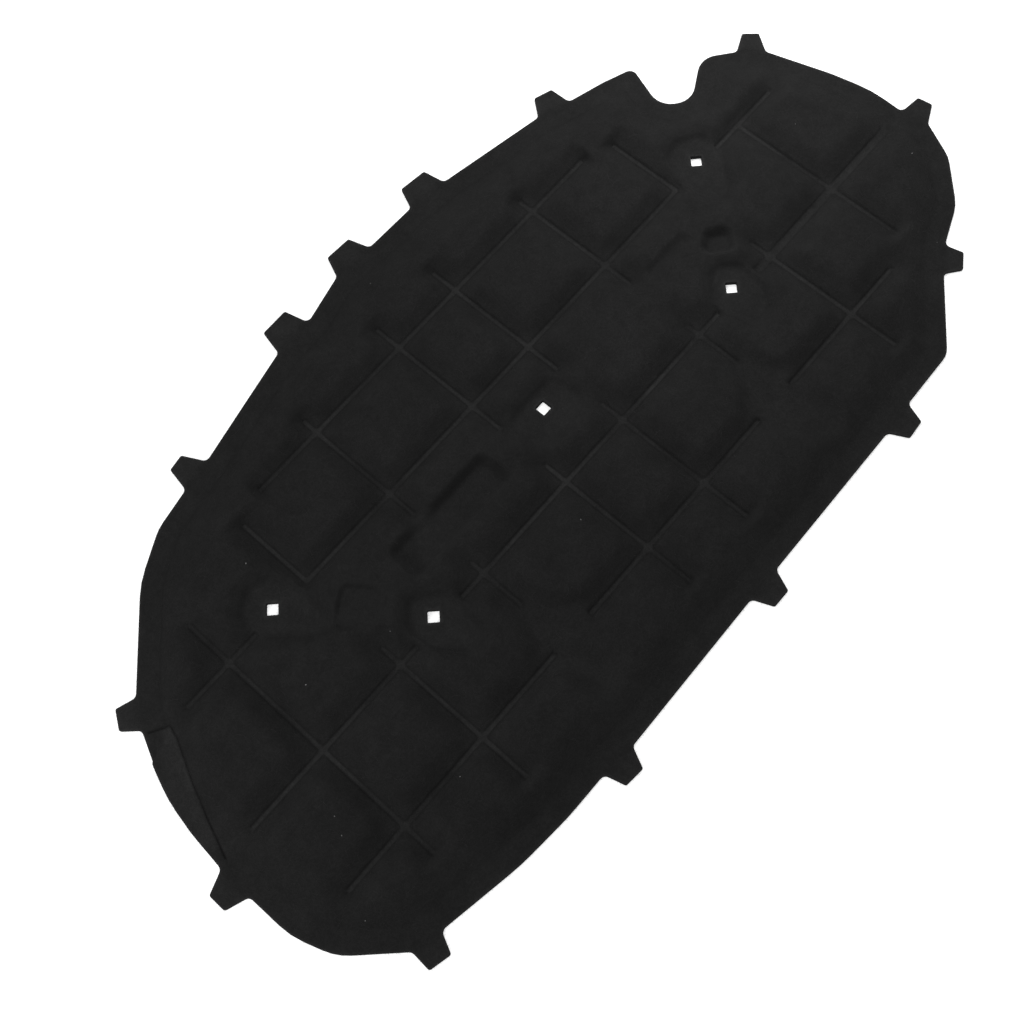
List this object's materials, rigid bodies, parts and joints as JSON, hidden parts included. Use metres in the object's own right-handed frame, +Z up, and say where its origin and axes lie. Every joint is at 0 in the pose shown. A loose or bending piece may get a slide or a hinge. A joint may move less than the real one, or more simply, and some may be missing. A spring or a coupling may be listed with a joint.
{
  "type": "hood insulation pad",
  "caption": "Moulded fibre hood insulation pad with quilted pillows, pressed lip, edge tabs, a U-shaped notch and square clip holes in pressed seats.",
  "frame": {"origin": "middle of the bounding box at the flat back, on the surface that the pad lies on", "axes": "+X along the pad towards the end with the U-shaped notch, +Y towards the bowed long edge, +Z up out of the quilted face"},
  "size_m": [1.2528, 0.6756, 0.017],
  "materials": {
    "black_fibre": "matte needled fibre, slightly paler and smoother where it is pressed thin"
  },
  "bodies": {
    "root": {"insulation_pad": "black_fibre"}
  },
  "joints": []
}
